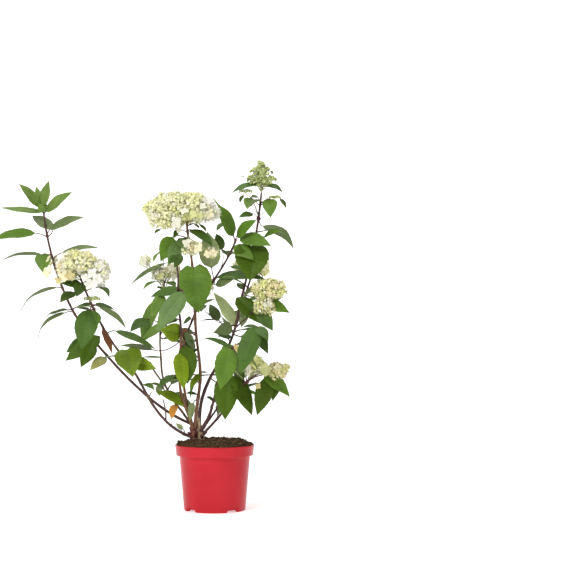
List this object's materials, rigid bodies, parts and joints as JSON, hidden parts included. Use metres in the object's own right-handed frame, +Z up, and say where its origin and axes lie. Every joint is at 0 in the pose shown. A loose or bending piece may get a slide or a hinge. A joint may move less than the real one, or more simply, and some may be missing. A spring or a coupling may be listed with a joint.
{
  "type": "potted panicle hydrangea shrub",
  "caption": "Flowering shrub with open spreading stems, pointed leaves and cream flower heads, standing in a round red nursery pot.",
  "frame": {"origin": "centre of the pot's flat underside", "axes": "+Z up along the pot's axis; -Y is the front, the side the picture shows; +X to the right as seen from the front"},
  "size_m": [0.7392, 0.4523, 0.852],
  "materials": {
    "pot_plastic": "glossy moulded red plastic",
    "soil": "dark brown crumbly compost",
    "stub_bark": "pale scaly bark",
    "stem_bark": "smooth dark reddish brown bark",
    "leaf": "matt green leaf with raised veins",
    "floret": "soft cream petals",
    "bud": "pale green flower buds"
  },
  "bodies": {
    "root": {"bloom_back_centre": "floret", "bloom_back_left": "floret", "bloom_back_right": "floret", "bloom_bud": "bud", "bloom_centre": "floret", "bloom_centre_low": "floret", "bloom_left": "floret", "bloom_low_right": "floret", "bloom_right": "floret", "leaves_back_centre_low": "leaf", "leaves_back_centre_middle": "leaf", "leaves_back_centre_top": "leaf", "leaves_back_left_middle": "leaf", "leaves_back_left_top": "leaf", "leaves_back_low_left": "leaf", "leaves_back_low_right": "leaf", "leaves_back_right_middle": "leaf", "leaves_back_right_top": "leaf", "leaves_centre": "leaf", "leaves_centre_low": "leaf", "leaves_centre_top": "leaf", "leaves_far_left_lower": "leaf", "leaves_far_left_middle": "leaf", "leaves_far_left_tip": "leaf", "leaves_far_left_upper": "leaf", "leaves_front_right": "leaf", "leaves_front_right_tip": "leaf", "leaves_left_low": "leaf", "leaves_left_middle": "leaf", "leaves_left_upper": "leaf", "leaves_low_right": "leaf", "leaves_low_right_tip": "leaf", "leaves_mid_left_low": "leaf", "leaves_mid_left_middle": "leaf", "leaves_mid_left_top": "leaf", "leaves_mid_right_fork": "leaf", "leaves_mid_right_top": "leaf", "leaves_tall_right_middle": "leaf", "leaves_tall_right_top": "leaf", "leaves_tall_right_upper": "leaf", "leaves_twig_right": "leaf", "pot": "pot_plastic", "soil": "soil", "stem_back_centre": "stem_bark", "stem_back_left": "stem_bark", "stem_back_low_left": "stem_bark", "stem_back_low_right": "stem_bark", "stem_back_right": "stem_bark", "stem_base": "stub_bark", "stem_centre": "stem_bark", "stem_clump": "stem_bark", "stem_far_left_high": "stem_bark", "stem_far_left_low": "stem_bark", "stem_front_right": "stem_bark", "stem_left": "stem_bark", "stem_low_right": "stem_bark", "stem_mid_left": "stem_bark", "stem_mid_right": "stem_bark", "stem_tall_right": "stem_bark", "twig_right": "stem_bark"}
  },
  "joints": []
}
